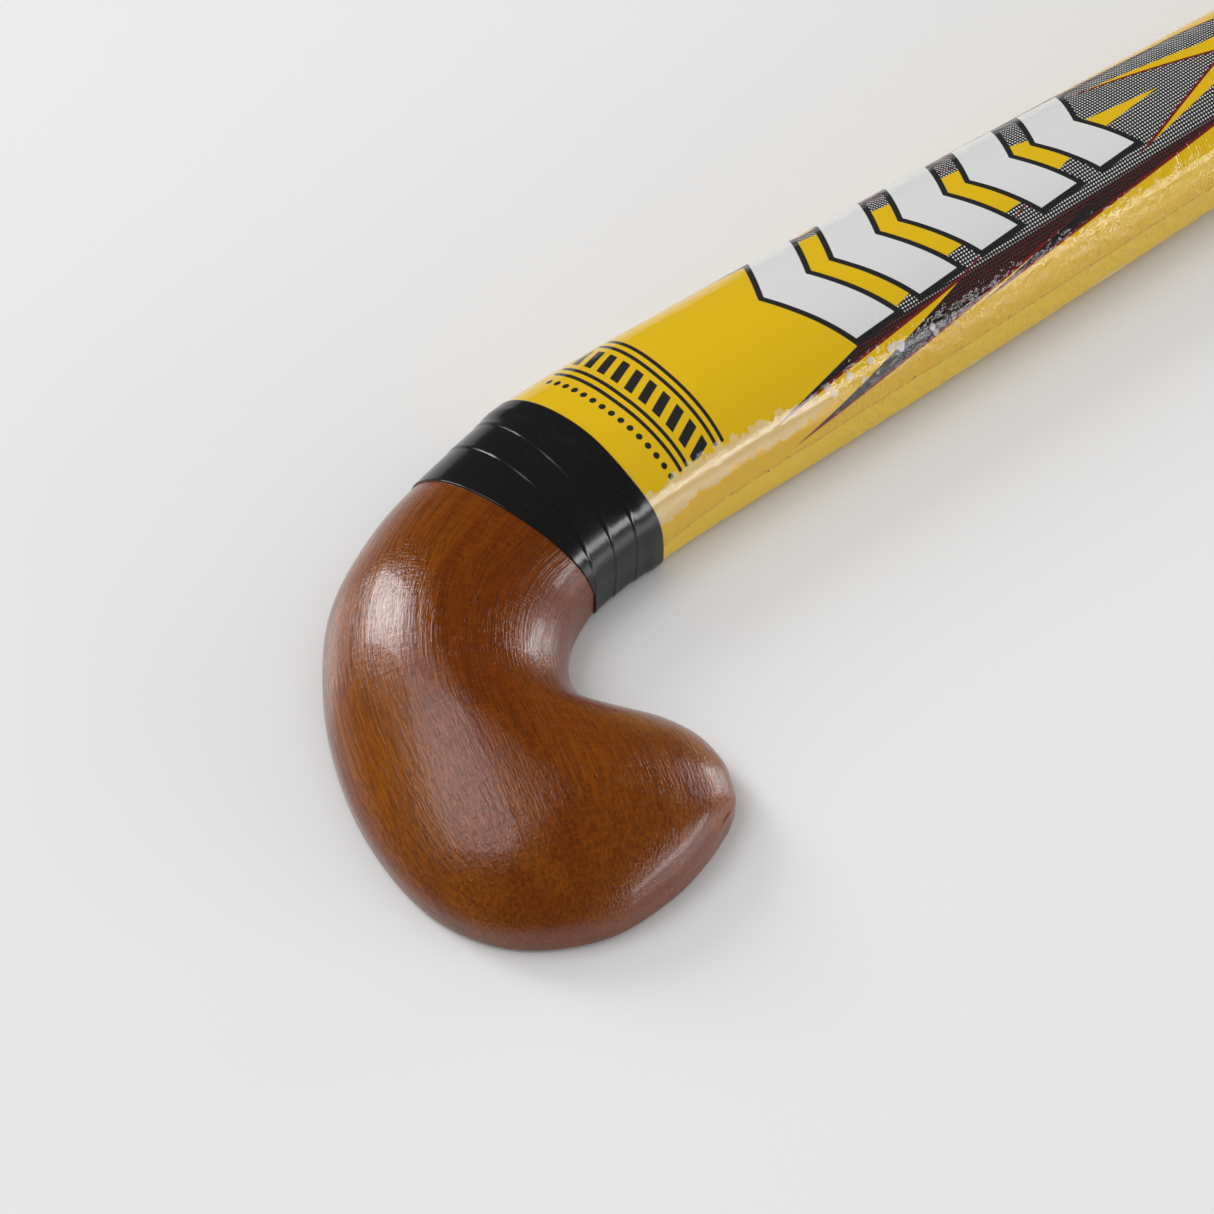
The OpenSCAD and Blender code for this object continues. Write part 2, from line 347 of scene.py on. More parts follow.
def makeWoodMaterial():
    material, tree, surface = newMaterial("varnishedWood", Coat_Weight=0.2, Coat_Roughness=0.05, Coat_IOR=1.5)
    grain = attribute(tree, "grain")
    fibre = useGroup(tree, fibreGroup, {"Grain": grain, "Band": 0.009, "Streak": 0.0007, "Pore": 0.00026})
    along, across, _ = put(tree, "ShaderNodeSeparateXYZ", {0: grain}).outputs
    shifted = calc(tree, "MULTIPLY_ADD", minus(tree, fibre["Bands"], 0.5), 0.012, across)
    zones = colourSteps(
        tree,
        calc(tree, "DIVIDE", shifted, 0.09),
        [
            (0.08, wood["orange"]),
            (0.20, wood["red"]),
            (0.42, wood["brown"]),
            (0.55, wood["red"]),
            (0.64, wood["orange"]),
            (0.80, wood["orange"]),
            (0.90, wood["red"]),
            (1.0, wood["brown"]),
        ],
    )
    toeward = times(tree, rise(tree, along, 0.05, 0.10), 0.45)
    zones = blend(tree, toeward, zones, (*wood["orange"], 1))
    toned = blend(tree, times(tree, fibre["Bands"], 0.7), zones, (*wood["red"], 1))
    streaked = blend(tree, times(tree, fibre["Streaks"], 0.72), toned, (*wood["edge"], 1))
    # sanding ripples across the grain: real bumps, plus a painted sheen that turns the colour lighter orange
    # along them
    ripplePlace = scaled(tree, grain, (1500.0, 330.0, 330.0))
    ripple = cloud(tree, ripplePlace, 1.0, 3.0, 0.62)
    # painted sheen: lighter orange along the sanding ripples
    rippleSheenMask = times(tree, rise(tree, ripple, 0.45, 0.7), 0.22)
    withRippleSheen = blend(tree, rippleSheenMask, streaked, (*wood["orange"], 1))
    fleck = cloud(tree, scaled(tree, grain, (700.0, 2600.0, 2600.0)), 1.0, 2.0, 0.6)
    flecks = times(tree, rise(tree, fleck, 0.52, 0.66), 0.28)
    flecked = blend(tree, flecks, withRippleSheen, (*wood["edge"], 1))
    pored = blend(tree, times(tree, fibre["Pores"], 0.6), flecked, (0.025, 0.006, 0.001, 1))
    feed(tree, surface.inputs["Base Color"], pored)
    handled = useGroup(tree, handlingGroup, {"Vector": objectPlace(tree), "Scale": 45.0})
    rough = calc(tree, "MULTIPLY_ADD", handled["Smudge"], 0.08, wood["roughness"])
    feed(tree, surface.inputs["Roughness"], rough)
    height = minus(tree, fibre["Streaks"], times(tree, fibre["Pores"], 0.3))
    fibreNormal = bump(tree, height, wood["fibreHeight"])
    feed(tree, surface.inputs["Normal"], bump(tree, ripple, wood["rippleHeight"], normal=fibreNormal))
    return material


tapeLook = {"colour": (0.009, 0.009, 0.010), "scuffed": (0.018, 0.018, 0.019), "roughness": 0.14}


def makeTapeMaterial():
    material, tree, surface = newMaterial("blackTape")
    place = objectPlace(tree)
    handled = useGroup(tree, handlingGroup, {"Vector": place, "Scale": 70.0})
    scuffs = times(tree, handled["Scuff"], 0.5)
    colour = blend(tree, scuffs, (*tapeLook["colour"], 1), (*tapeLook["scuffed"], 1))
    dusty = blend(tree, times(tree, handled["Speck"], 0.12), colour, (0.08, 0.08, 0.08, 1))
    feed(tree, surface.inputs["Base Color"], dusty)
    rough = calc(tree, "MULTIPLY_ADD", handled["Smudge"], 0.08, tapeLook["roughness"])
    feed(tree, surface.inputs["Roughness"], rough)
    stretch = cloud(tree, scaled(tree, place, (1.0, 0.25, 0.25)), 900.0, 3.0, 0.55)
    feed(tree, surface.inputs["Normal"], bump(tree, stretch, 0.00002))
    return material


printed = {
    "yellow": (0.72, 0.455, 0.001),
    "orange": (0.66, 0.385, 0.001),
    "pale": (0.71, 0.46, 0.012),
    "black": (0.010, 0.010, 0.011),
    "white": (0.68, 0.69, 0.68),
    "red": (0.16, 0.006, 0.006),
    "bandLines": ((61.6, 0.5), (59.4, 0.5), (49.6, 0.5), (47.4, 0.5)),  # place and half width, mm
    "chevrons": (100.0, 121.0, 142.0, 163.0, 184.0),  # points of the chevrons, mm up the shaft
    "chevronWidth": 12.5,
    "chevronSlope": 0.5,
    "outline": 1.6,
    "chevronMiddle": -4.0,
    "dotMesh": 0.85,
    # tip u, tip v, far u, far v, half width at the far point
    "spikes": (
        (75.0, 25.0, 136.0, 14.0, 3.2),
        (79.6, 32.5, 188.0, 9.5, 6.5),
        (138.0, 24.5, 235.0, 10.0, 4.5),
    ),
    "spikeEnd": 1.6,  # in lengths from tip to far point
    "redEdge": 0.7,
    "seam": 34.5,
    "badge": {"middle": 0.5, "reach": 21.0},
    "bars": {"row": 54.5, "half": 3.0, "pitch": 4.4, "slant": 0.4},
    "dots": {"row": 44.3, "pitch": 2.8, "radius": 0.8},
    "ribPitch": 0.95,  # of the twine under the film
}


def makeSpikeGroup():
    group, given, result = newGroup(
        "spike",
        [
            ("Place", "Vector", None),
            ("Tip", "Vector", (0, 0, 0)),
            ("Far", "Vector", (1, 0, 0)),
            ("Half Width", "Float", 3.0),
        ],
        ["Along", "Inside", "Lower Edge"],
    )
    axis = vectorCalc(group, "SUBTRACT", given["Far"], given["Tip"])
    length = vectorCalc(group, "LENGTH", axis, output="Value")
    away = vectorCalc(group, "NORMALIZE", axis)
    local = vectorCalc(group, "SUBTRACT", given["Place"], given["Tip"])
    travelled = vectorCalc(group, "DOT_PRODUCT", local, away, output="Value")
    along = calc(group, "DIVIDE", travelled, length)
    side = vectorCalc(group, "CROSS_PRODUCT", away, local)
    offset = put(group, "ShaderNodeSeparateXYZ", {0: side}).outputs[2]
    # full width at 1, then tapering out by the spike's end
    end = printed["spikeEnd"]
    fading = calc(group, "DIVIDE", minus(group, end, along), end - 1.0)
    half = times(group, calc(group, "MINIMUM", along, fading), given["Half Width"])
    depth = minus(group, half, calc(group, "ABSOLUTE", offset))
    started = calc(group, "GREATER_THAN", along, 0.0)
    ended = calc(group, "LESS_THAN", along, end)
    within = times(group, started, ended)
    feed(group, result["Along"], along)
    feed(group, result["Inside"], times(group, within, rise(group, depth, -0.04, 0.04)))
    low = minus(group, offset, minus(group, half, printed["redEdge"]))
    feed(group, result["Lower Edge"], times(group, within, rise(group, low, -0.04, 0.04)))
    return group


def makeFilmMaterial():
    material, tree, surface = newMaterial("printedFilm", Coat_Weight=0.25, Coat_Roughness=0.03, Coat_IOR=1.5)
    uv = put(tree, "ShaderNodeUVMap", uv_map="print").outputs[0]
    place = scaled(tree, uv, (1000.0, 1000.0, 0.0))  # millimetres along and around
    u, v, _ = put(tree, "ShaderNodeSeparateXYZ", {0: place}).outputs
    wobble = cloud(tree, place, 0.12, 3.0, 0.6)
    sides = calc(tree, "ABSOLUTE", v)
    colour = blend(tree, rise(tree, sides, 22.0, 31.0), (*printed["yellow"], 1), (*printed["orange"], 1))
    seamPlace = calc(tree, "MULTIPLY_ADD", u, -0.03, printed["seam"] + 2.4)
    past = minus(tree, sides, seamPlace)
    colour = blend(tree, rise(tree, past, -0.15, 0.15), colour, (*printed["pale"], 1))
    colour = blend(tree, times(tree, wobble, 0.12), colour, (*printed["orange"], 1))

    # spikes on both sides, with a dot mesh and a dark red lower edge
    spikeGroup = makeSpikeGroup()
    folded = put(tree, "ShaderNodeCombineXYZ", {0: u, 1: sides}).outputs[0]
    meshTurn = math.pi / printed["dotMesh"]
    meshU = calc(tree, "SINE", times(tree, calc(tree, "ADD", u, v), meshTurn))
    meshV = calc(tree, "SINE", times(tree, minus(tree, u, v), meshTurn))
    dots = rise(tree, times(tree, meshU, meshV), 0.30, 0.45)
    for tipU, tipV, farU, farV, half in printed["spikes"]:
        ends = {"Tip": (tipU, tipV, 0), "Far": (farU, farV, 0)}
        spike = useGroup(tree, spikeGroup, {"Place": folded, **ends, "Half Width": half})
        colour = blend(tree, spike["Inside"], colour, (*printed["black"], 1))
        core = times(tree, spike["Inside"], rise(tree, spike["Along"], 0.32, 0.55))
        colour = blend(tree, times(tree, core, dots), colour, (*printed["red"], 1))
        inner = minus(tree, spike["Inside"], rise(tree, past, -17.0, -15.5))
        inner = times(tree, calc(tree, "MAXIMUM", inner, 0.0), dots)
        colour = blend(tree, inner, colour, (*printed["white"], 1))
        edge = times(tree, spike["Inside"], spike["Lower Edge"])
        colour = blend(tree, edge, colour, (*printed["red"], 1))

    # bold chevrons, white with a black outline
    reach = gapTo(tree, v, printed["chevronMiddle"])
    bent = calc(tree, "MULTIPLY_ADD", reach, -printed["chevronSlope"], u)
    narrowing = calc(tree, "MULTIPLY_ADD", u, -0.075, 28.6)
    ends = minus(tree, narrowing, reach)
    for point in printed["chevrons"]:
        middle = minus(tree, bent, point)
        depth = minus(tree, printed["chevronWidth"] / 2, calc(tree, "ABSOLUTE", middle))
        depth = calc(tree, "MINIMUM", depth, ends)
        outline = rise(tree, depth, -printed["outline"] - 0.05, 0.05 - printed["outline"])
        colour = blend(tree, outline, colour, (*printed["black"], 1))
        colour = blend(tree, rise(tree, depth, -0.05, 0.05), colour, (*printed["white"], 1))

    # line block next to the tape: long lines, slanted bars between them and a row of dots
    badge, barLook, dotLook = printed["badge"], printed["bars"], printed["dots"]
    badgeReach = minus(tree, badge["reach"], gapTo(tree, v, badge["middle"]))
    marks = 0.0
    for line, half in printed["bandLines"]:
        gap = gapTo(tree, u, line)
        marks = calc(tree, "MAXIMUM", marks, rise(tree, gap, half + 0.04, half - 0.04))
    slant = calc(tree, "MULTIPLY_ADD", u, barLook["slant"], v)
    beat = gapTo(tree, calc(tree, "FRACT", calc(tree, "DIVIDE", slant, barLook["pitch"])), 0.5)
    bars = rise(tree, beat, 0.29, 0.27)
    barRow = gapTo(tree, u, barLook["row"])
    bars = times(tree, bars, rise(tree, barRow, barLook["half"] + 0.04, barLook["half"] - 0.04))
    marks = calc(tree, "MAXIMUM", marks, bars)
    dotU = minus(tree, u, dotLook["row"])
    dotBeat = calc(tree, "FRACT", calc(tree, "DIVIDE", v, dotLook["pitch"]))
    dotV = times(tree, minus(tree, dotBeat, 0.5), dotLook["pitch"])
    apart = calc(tree, "ADD", times(tree, dotU, dotU), times(tree, dotV, dotV))
    apart = calc(tree, "SQRT", apart)
    dotRow = rise(tree, apart, dotLook["radius"] + 0.04, dotLook["radius"] - 0.04)
    marks = calc(tree, "MAXIMUM", marks, dotRow)
    marks = times(tree, marks, rise(tree, badgeReach, -0.05, 0.05))
    colour = blend(tree, marks, colour, (*printed["black"], 1))

    # the film's long seam: a thin broken dark line with specks
    broken = rise(tree, cloud(tree, scaled(tree, place, (0.5, 0.0, 0.0)), 1.0, 3.0, 0.7), 0.42, 0.55)
    wander = calc(tree, "MULTIPLY_ADD", minus(tree, wobble, 0.5), 0.7, past)
    line = rise(tree, calc(tree, "ABSOLUTE", wander), 0.20, 0.08)
    line = times(tree, line, times(tree, broken, 0.75))
    colour = blend(tree, line, colour, (0.12, 0.05, 0.01, 1))
    speckBand = rise(tree, calc(tree, "ABSOLUTE", past), 2.2, 1.2)
    specks = rise(tree, cloud(tree, place, 1.1, 1.0), 0.70, 0.74)
    colour = blend(tree, times(tree, specks, speckBand), colour, (0.05, 0.02, 0.01, 1))
    feed(tree, surface.inputs["Base Color"], colour)

    handled = useGroup(tree, handlingGroup, {"Vector": objectPlace(tree), "Scale": 40.0})
    feed(tree, surface.inputs["Roughness"], calc(tree, "MULTIPLY_ADD", handled["Smudge"], 0.04, 0.04))
    crinkle = cloud(tree, place, 0.30, 3.0, 0.5)
    loose = calc(tree, "MULTIPLY_ADD", rise(tree, u, 86.0, 100.0), 0.85, 0.15)
    loose = times(tree, loose, rise(tree, sides, 12.0, 22.0))
    crinkle = times(tree, crinkle, calc(tree, "ADD", loose, 0.12))
    ribs = calc(tree, "SINE", times(tree, u, 2 * math.pi / printed["ribPitch"]))
    ribs = times(tree, ribs, rise(tree, u, 186.0, 204.0))
    wavy = bump(tree, crinkle, 0.0009)
    feed(tree, surface.inputs["Normal"], bump(tree, ribs, 0.00003, normal=wavy))
    return material


sleeveLook = {
    "tint": (0.95, 0.93, 0.86),
    "bubbleHighlight": (0.80, 0.79, 0.84),
    "alpha": 0.012,
    "bubbleAlpha": 0.5,
    "paintedHighlightAlpha": 0.24,
    "roughness": 0.05,
    "bubbleRow": 24.0,  # where the bubbles and the crease, with their painted highlight, lie, mm round from the crest
    "creaseRow": 25.3,
}


def makeSleeveMaterial():
    material, tree, surface = newMaterial("clearSleeve", IOR=1.5)
    uv = put(tree, "ShaderNodeUVMap", uv_map="print").outputs[0]
    place = scaled(tree, uv, (1000.0, 1000.0, 0.0))
    u, v, _ = put(tree, "ShaderNodeSeparateXYZ", {0: place}).outputs
    cellInputs = {"Vector": place, "Scale": 0.30, "Smoothness": 0.25}
    cells = put(tree, "ShaderNodeTexVoronoi", cellInputs, feature="SMOOTH_F1")
    bubbles = rise(tree, cells.outputs["Distance"], 0.34, 0.24)
    nearCrease = rise(tree, gapTo(tree, v, sleeveLook["bubbleRow"]), 3.2, 1.6)
    stretch = times(tree, rise(tree, u, 88.0, 95.0), rise(tree, u, 136.0, 124.0))
    bubbles = times(tree, bubbles, times(tree, nearCrease, stretch))
    # air bubbles under the sleeve, coloured pale lavender as painted highlight blobs along the crease's row
    colour = blend(tree, bubbles, (*sleeveLook["tint"], 1), (*sleeveLook["bubbleHighlight"], 1))
    feed(tree, surface.inputs["Base Color"], colour)
    # a ragged crease next to the tape, narrower further up, with a painted highlight: raised alpha shows the
    # pale tint where the crease mirrors the light
    ragged = cloud(tree, scaled(tree, place, (0.42, 0.30, 0.0)), 1.0, 4.0, 0.62)
    middle = calc(tree, "MULTIPLY_ADD", minus(tree, ragged, 0.5), 9.0, sleeveLook["creaseRow"])
    halfWidth = calc(tree, "MULTIPLY_ADD", u, -0.045, 6.1)
    crease = minus(tree, halfWidth, gapTo(tree, v, middle))
    fadeOut = rise(tree, u, 97.0, 86.0)
    crease = times(tree, rise(tree, crease, -0.15, 0.25), fadeOut)
    marked = calc(tree, "MULTIPLY_ADD", bubbles, sleeveLook["bubbleAlpha"], sleeveLook["alpha"])
    # painted highlight: more alpha along the crease lets the pale tint show as a bright strip
    marked = calc(tree, "MULTIPLY_ADD", crease, sleeveLook["paintedHighlightAlpha"], marked)
    feed(tree, surface.inputs["Alpha"], marked)
    handled = useGroup(tree, handlingGroup, {"Vector": objectPlace(tree), "Scale": 55.0})
    rough = calc(tree, "MULTIPLY_ADD", handled["Smudge"], 0.06, sleeveLook["roughness"])
    feed(tree, surface.inputs["Roughness"], rough)
    crinkle = cloud(tree, place, 0.4, 3.0, 0.5)
    feed(tree, surface.inputs["Normal"], bump(tree, crinkle, 0.00012))
    return material


def makeCaneMaterial():
    material, tree, surface = newMaterial("splitCane")
    fibreSizes = {"Band": 0.006, "Streak": 0.0005, "Pore": 0.0002}
    fibre = useGroup(tree, fibreGroup, {"Grain": objectPlace(tree), **fibreSizes})
    colour = blend(tree, fibre["Bands"], (0.62, 0.42, 0.19, 1), (0.50, 0.31, 0.12, 1))
    colour = blend(tree, times(tree, fibre["Streaks"], 0.5), colour, (0.36, 0.20, 0.07, 1))
    feed(tree, surface.inputs["Base Color"], colour)
    feed(tree, surface.inputs["Roughness"], calc(tree, "MULTIPLY_ADD", fibre["Streaks"], 0.2, 0.5))
    feed(tree, surface.inputs["Normal"], bump(tree, fibre["Streaks"], 0.00008))
    return material


rubbers = {
    # colour, dust on it, roughness, size and depth of the grain in metres
    "capRubber": ((0.022, 0.022, 0.024), (0.07, 0.07, 0.07), 0.55, 0.0006, 0.00004),
    "rubberSheet": ((0.20, 0.06, 0.045), (0.34, 0.16, 0.13), 0.6, 0.0008, 0.00006),
    "cushionLayer": ((0.62, 0.62, 0.60), (0.45, 0.45, 0.43), 0.75, 0.0009, 0.0001),
}


def makeRubberMaterial(name):
    colour, dust, roughness, grainSize, depth = rubbers[name]
    material, tree, surface = newMaterial(name)
    place = objectPlace(tree)
    handled = useGroup(tree, handlingGroup, {"Vector": place, "Scale": 80.0})
    dusted = calc(tree, "MULTIPLY_ADD", handled["Scuff"], 0.35, times(tree, handled["Smudge"], 0.2))
    feed(tree, surface.inputs["Base Color"], blend(tree, dusted, (*colour, 1), (*dust, 1)))
    feed(tree, surface.inputs["Roughness"], calc(tree, "MULTIPLY_ADD", handled["Smudge"], 0.15, roughness))
    feed(tree, surface.inputs["Normal"], bump(tree, cloud(tree, place, 1 / grainSize, 3.0, 0.6), depth))
    return material


cloths = {
    # thread, gaps between threads, pitch in metres, roughness
    "glassCloth": ((0.72, 0.66, 0.50), (0.50, 0.38, 0.20), 0.0024, 0.35),
    "waxedTwine": ((0.66, 0.52, 0.28), (0.34, 0.22, 0.09), 0.0019, 0.55),
}


def makeClothMaterial(name):
    thread, gap, pitch, roughness = cloths[name]
    material, tree, surface = newMaterial(name)
    place = objectPlace(tree)
    weave = useGroup(tree, weaveGroup, {"Vector": place, "Pitch": pitch})
    handled = useGroup(tree, handlingGroup, {"Vector": place, "Scale": 60.0})
    colour = blend(tree, weave["Gap"], (*thread, 1), (*gap, 1))
    colour = blend(tree, times(tree, handled["Smudge"], 0.3), colour, (*gap, 1))
    feed(tree, surface.inputs["Base Color"], colour)
    feed(tree, surface.inputs["Roughness"], calc(tree, "MULTIPLY_ADD", handled["Smudge"], 0.15, roughness))
    feed(tree, surface.inputs["Normal"], bump(tree, weave["Height"], 0.00015))
    return material


bandLook = {"colour": (0.022, 0.022, 0.024), "worn": (0.060, 0.058, 0.056), "roughness": 0.48}


def makeBandMaterial():
    material, tree, surface = newMaterial("gripBand", Sheen_Weight=0.15, Sheen_Roughness=0.4)
    band = attribute(tree, "band")  # metres along and across, then how deep the punched hole is
    hole = put(tree, "ShaderNodeSeparateXYZ", {0: band}).outputs[2]
    cellInputs = {"Vector": band, "Scale": 1100.0}
    cells = put(tree, "ShaderNodeTexVoronoi", cellInputs, feature="DISTANCE_TO_EDGE").outputs[0]
    creases = rise(tree, cells, 0.10, 0.02)
    handled = useGroup(tree, handlingGroup, {"Vector": objectPlace(tree), "Scale": 50.0})
    wear = times(tree, handled["Smudge"], 0.45)
    colour = blend(tree, wear, (*bandLook["colour"], 1), (*bandLook["worn"], 1))
    colour = blend(tree, times(tree, creases, 0.5), colour, (0.008, 0.008, 0.009, 1))
    # painted shade: the punched holes are drawn near-black
    colour = blend(tree, hole, colour, (0.002, 0.002, 0.002, 1))
    feed(tree, surface.inputs["Base Color"], colour)
    rough = calc(tree, "MULTIPLY_ADD", handled["Smudge"], -0.12, bandLook["roughness"])
    feed(tree, surface.inputs["Roughness"], rough)
    feed(tree, surface.inputs["Normal"], bump(tree, cells, 0.00012))
    return material


tableLook = {"dark": (0.795, 0.797, 0.80), "pale": (0.81, 0.812, 0.815), "roughness": 0.16}


def makeFloorMaterial():
    material, tree, surface = newMaterial("paleTable", Specular_IOR_Level=0.3)
    place = objectPlace(tree)
    tone = cloud(tree, place, 3.0, 2.0)
    colour = blend(tree, tone, (*tableLook["dark"], 1), (*tableLook["pale"], 1))
    feed(tree, surface.inputs["Base Color"], colour)
    rough = calc(tree, "MULTIPLY_ADD", cloud(tree, place, 40.0, 3.0), 0.06, tableLook["roughness"])
    feed(tree, surface.inputs["Roughness"], rough)
    return material


# ---- mesh helpers


def newPiece(name, mesh, material):
    piece = bpy.data.objects.new(name, mesh)
    bpy.context.scene.collection.objects.link(piece)
    mesh.materials.clear()
    mesh.materials.append(material)
    for polygon in mesh.polygons:
        polygon.use_smooth = True
    return piece


def finishPiece(piece, slot, *replaced):
    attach(piece, "root")
    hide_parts(*replaced)


# a CAD node's mesh with shared corners and four-sided faces
def mergedCopy(nodeName):
    work = bmesh.new()
    work.from_mesh(cadNodes[nodeName].data)
    bmesh.ops.remove_doubles(work, verts=work.verts, dist=1e-6)
    bmesh.ops.join_triangles(
        work, faces=work.faces, angle_face_threshold=math.radians(30), angle_shape_threshold=math.radians(80)
    )
    creases = work.edges.layers.float.new("crease_edge")
    for edge in work.edges:
        if len(edge.link_faces) != 2 or edge.calc_face_angle(0) > math.radians(35):
            edge[creases] = 1.0
    return work


# the CAD node's shape, smoothed, as a new mesh
def subdivided(nodeName, levels):
    work = mergedCopy(nodeName)
    mesh = bpy.data.meshes.new(nodeName + "Smooth")
    work.to_mesh(mesh)
    work.free()
    holder = bpy.data.objects.new(nodeName + "Holder", mesh)
    bpy.context.scene.collection.objects.link(holder)
    modifier = holder.modifiers.new("smooth", "SUBSURF")
    modifier.levels = levels
    modifier.render_levels = levels
    bpy.context.view_layer.update()
    shown = holder.evaluated_get(bpy.context.evaluated_depsgraph_get())
    result = bpy.data.meshes.new_from_object(shown)
    bpy.data.objects.remove(holder)
    bpy.data.meshes.remove(mesh)
    return result


def treeOf(mesh):
    corners = [v.co.copy() for v in mesh.vertices]
    faces = [tuple(p.vertices) for p in mesh.polygons]
    return BVHTree.FromPolygons(corners, faces)


# a mesh through rows of points, each row going round the shaft
def gridMesh(name, rows):
    count = len(rows[0])
    corners = [tuple(point) for row in rows for point in row]
    faces = []
    for i in range(len(rows) - 1):
        for j in range(count):
            k = (j + 1) % count
            faces.append((i * count + j, i * count + k, (i + 1) * count + k, (i + 1) * count + j))
    mesh = bpy.data.meshes.new(name)
    mesh.from_pydata(corners, [], faces)
    mesh.update()
    return mesh


def pointOutwards(mesh):
    work = bmesh.new()
    work.from_mesh(mesh)
    bmesh.ops.recalc_face_normals(work, faces=work.faces)
    work.to_mesh(mesh)
    work.free()


# joins points that met at a cut end and drops the faces that closed up there
def tidyMesh(mesh):
    work = bmesh.new()
    work.from_mesh(mesh)
    bmesh.ops.dissolve_degenerate(work, edges=work.edges, dist=2e-6)
    loose = [vertex for vertex in work.verts if not vertex.link_faces]
    bmesh.ops.delete(work, geom=loose, context="VERTS")
    work.to_mesh(mesh)
    work.free()
    pointOutwards(mesh)


# ---- rays round the shaft and the neck, which bends about an upright axis

neck = {
    "pivot": Vector((0.0674, -0.160, 0.0)),
    "reach": 0.160,  # from the pivot to the middle of the neck
    "middleHeight": 0.012,
    "startRadius": 0.08,
}


# middle and outward direction of the section at distance u up the shaft, in metres
def stationPlane(u):
    pivot = neck["pivot"]
    if u >= pivot.x:
        return Vector((u, 0, neck["middleHeight"])), Vector((0, 1, 0))
    turn = (pivot.x - u) / neck["reach"]
    outward = Vector((-math.sin(turn), math.cos(turn), 0))
    middle = pivot + outward * neck["reach"]
    middle.z = neck["middleHeight"]
    return middle, outward


# where a ray towards the section's middle meets the skin, moved outwards by lift
def surfacePoint(skin, u, angle, lift):
    middle, outward = stationPlane(u)
    if u > neck["pivot"].x:
        middle.z = shaftMiddle(u)
    away = outward * math.cos(angle) + Vector((0, 0, 1)) * math.sin(angle)
    hit, normal = skin.ray_cast(middle + away * neck["startRadius"], -away)[:2]
    normal = normal if normal.dot(away) > 0 else -normal
    return hit + normal * lift


handleZ = (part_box("grip_wrap")[0].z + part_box("grip_wrap")[1].z) / 2
roundEnd = 0.540


def shaftMiddle(u):
    share = min(1.0, max(0.0, (u - neck["pivot"].x) / (roundEnd - neck["pivot"].x)))
    return neck["middleHeight"] + (handleZ - neck["middleHeight"]) * share


def turnToDistance(degrees):
    return neck["pivot"].x - neck["reach"] * math.radians(degrees)


# ---- head

headShape = {
    "bendCentre": (0.022, -0.058),
    "bendAngle": 72.0,
    "middleRadius": 0.052,
    "unevenness": 0.00010,  # what hand sanding leaves
    "unevenSize": 0.014,
}


def grainOf(points):
    x = points[:, 0] - headShape["bendCentre"][0]
    y = points[:, 1] - headShape["bendCentre"][1]
    whole = math.radians(headShape["bendAngle"])
    angle = np.arctan2(-x, y)
    radius = np.hypot(x, y)
    away = np.array([-math.cos(whole), -math.sin(whole)])
    side = np.array([-math.sin(whole), math.cos(whole)])
    runOut = x * away[0] + y * away[1]
    middle = headShape["middleRadius"]
    along = np.where((x > 0) & (y > 0), -x, angle * middle)
    across = np.where((x > 0) & (y > 0), y, radius)
    beyond = (runOut > 0) & ~((x > 0) & (y > 0))
    along = np.where(beyond, whole * middle + runOut, along)
    across = np.where(beyond, x * side[0] + y * side[1], across)
    return np.stack([along, across, points[:, 2]], axis=1)


def makeHead(material):
    mesh = subdivided("head", 2)
    count = len(mesh.vertices)
    points = np.zeros(count * 3)
    mesh.vertices.foreach_get("co", points)
    points = points.reshape(-1, 3)
    normals = np.zeros(count * 3)
    mesh.vertices.foreach_get("normal", normals)
    normals = normals.reshape(-1, 3)
    grain = grainOf(points)
    size = headShape["unevenSize"]
    for i in range(count):
        x, y, z = points[i]
        if x > 0.03 or z < 0.003:
            continue
        amount = noise.noise(Vector((x, y, z)) / size) * headShape["unevenness"]
        points[i] += normals[i] * (amount - headShape["unevenness"] * 0.3)
    mesh.vertices.foreach_set("co", points.ravel())
    layer = mesh.attributes.new("grain", "FLOAT_VECTOR", "POINT")
    layer.data.foreach_set("vector", grain.ravel())
    mesh.update()
    piece = newPiece("head_wood", mesh, material)
    finishPiece(piece, "varnished_wood", "head")
    print("head:", len(mesh.polygons), "faces")


# ---- film and sleeve

filmShape = {
    "underTape": 12.1,  # degrees round the neck where the film ends, under the tape
    "tapeTop": 10.75,
    "nearStep": 0.0015,
    "farStep": 0.004,
    "nearEnd": 0.215,
    "around": 144,
    "filmDepth": 0.00025,
    "overWood": 0.0010,  # cloth, print and sleeve together
    "wrinkle": 0.00006,
}


def filmStations():
    first = turnToDistance(filmShape["underTape"])
    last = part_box("clear_sleeve")[1].x
    near = np.arange(first, filmShape["nearEnd"], filmShape["nearStep"])
    far = np.arange(filmShape["nearEnd"], last, filmShape["farStep"])
    return [*near, *far, last - 0.0002]


